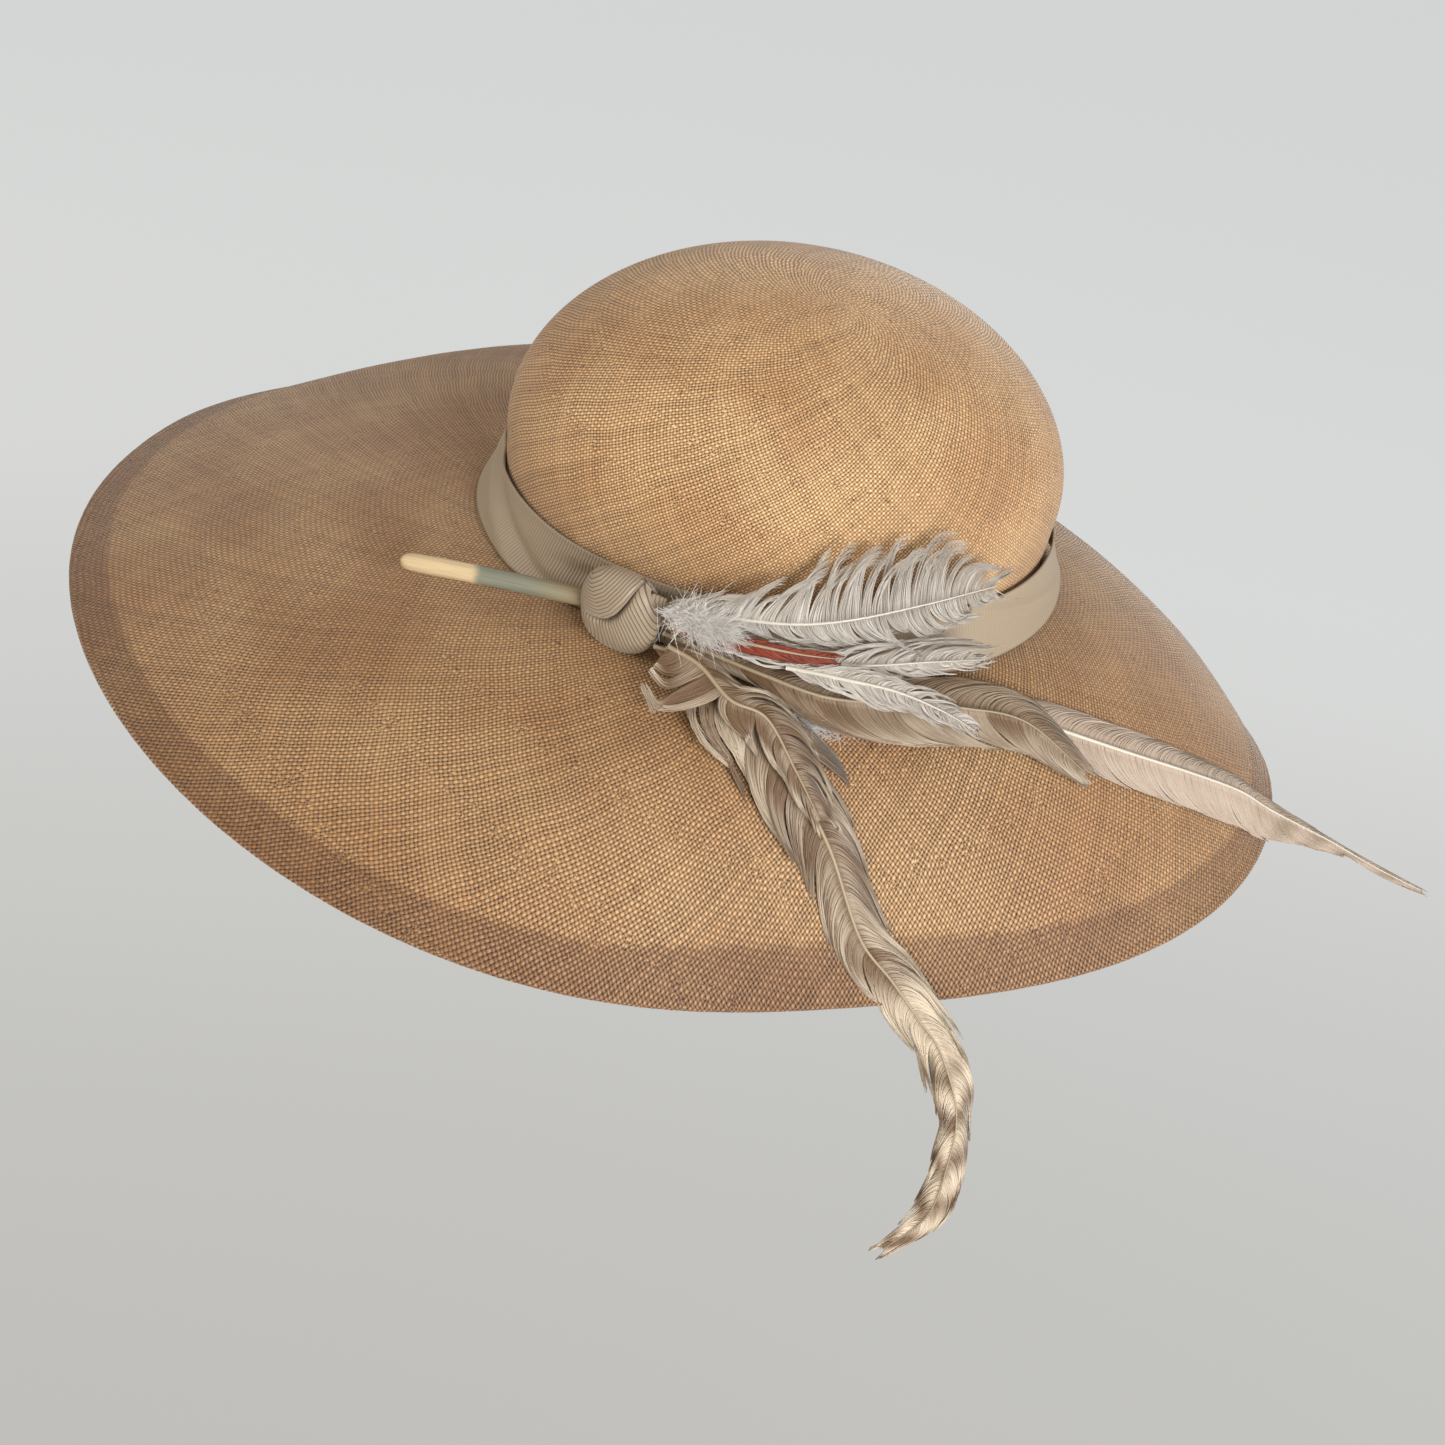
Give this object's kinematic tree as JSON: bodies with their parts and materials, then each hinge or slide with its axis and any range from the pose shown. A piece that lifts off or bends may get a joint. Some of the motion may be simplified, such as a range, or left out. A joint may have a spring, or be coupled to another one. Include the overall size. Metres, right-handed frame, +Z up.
{
  "type": "fascinator headpiece",
  "caption": "Wide-brimmed woven picture hat with a domed crown, a knotted ribbon band, a bare quill and a hinged spray of feathers.",
  "frame": {"origin": "the middle of the head opening, in the plane where the crown meets the brim", "axes": "+Z up along the crown, -Y towards the wearer's front, +X towards the wearer's left, where the feathers are"},
  "size_m": [0.3845, 0.5142, 0.2467],
  "materials": {
    "straw": "open plain weave of stiffened straw-like fibre, slightly shiny",
    "wire": "wire",
    "head_ribbon": "matt ribbed ribbon",
    "ribbon": "ribbed grosgrain",
    "quill": "horn, cream at the foot and grey-green above",
    "feather_shaft": "horn",
    "tan_feather": "silky barbs with brown and cream bands",
    "pale_feather": "silky barbs",
    "white_feather": "downy barbs",
    "red_feather": "silky barbs"
  },
  "bodies": {
    "hat": {"crown": "straw", "brim": "straw", "brim_hem": "straw", "brim_wire": "wire", "sweatband": "head_ribbon", "ribbon_band": "ribbon", "knot_upper": "ribbon", "knot_lower": "ribbon", "knot_end": "ribbon", "quill": "quill"},
    "hanging_feather": {"hanging_feather_shaft": "feather_shaft", "hanging_feather_vane_left": "tan_feather", "hanging_feather_vane_right": "tan_feather", "cover_feather_shaft": "feather_shaft", "cover_feather_vane_left": "tan_feather", "cover_feather_vane_right": "tan_feather"},
    "side_feather": {"tan_feather_shaft": "feather_shaft", "tan_feather_vane_left": "tan_feather", "tan_feather_vane_right": "tan_feather", "pale_feather_shaft": "feather_shaft", "pale_feather_vane_left": "pale_feather", "pale_feather_vane_right": "pale_feather", "side_down": "white_feather"},
    "white_feather": {"white_feather_shaft": "feather_shaft", "white_feather_vane_left": "white_feather", "white_feather_vane_right": "white_feather", "white_spray_shaft": "feather_shaft", "white_spray_vane_left": "white_feather", "white_spray_vane_right": "white_feather", "white_wisp_shaft": "feather_shaft", "white_wisp_vane_left": "white_feather", "white_wisp_vane_right": "white_feather", "red_feather_shaft": "feather_shaft", "red_feather_vane_left": "red_feather", "red_feather_vane_right": "red_feather", "white_down": "white_feather"}
  },
  "joints": [
    {"name": "hanging_feather_lift", "type": "hinge", "parent": "hat", "child": "hanging_feather", "pos_m": [0.0965, -0.0295, 0.0069], "axis": [0, -1, 0], "range_deg": [0, 7], "stiffness_Nm_per_rad": 0.3},
    {"name": "side_feather_lift", "type": "hinge", "parent": "hat", "child": "side_feather", "pos_m": [0.0909, -0.0278, 0.008], "axis": [1, 0, 0], "range_deg": [0, 8], "stiffness_Nm_per_rad": 0.3},
    {"name": "white_feather_lift", "type": "hinge", "parent": "side_feather", "child": "white_feather", "pos_m": [0.0914, -0.0297, 0.0178], "axis": [1, 0, 0], "range_deg": [0, 20], "stiffness_Nm_per_rad": 0.2}
  ]
}
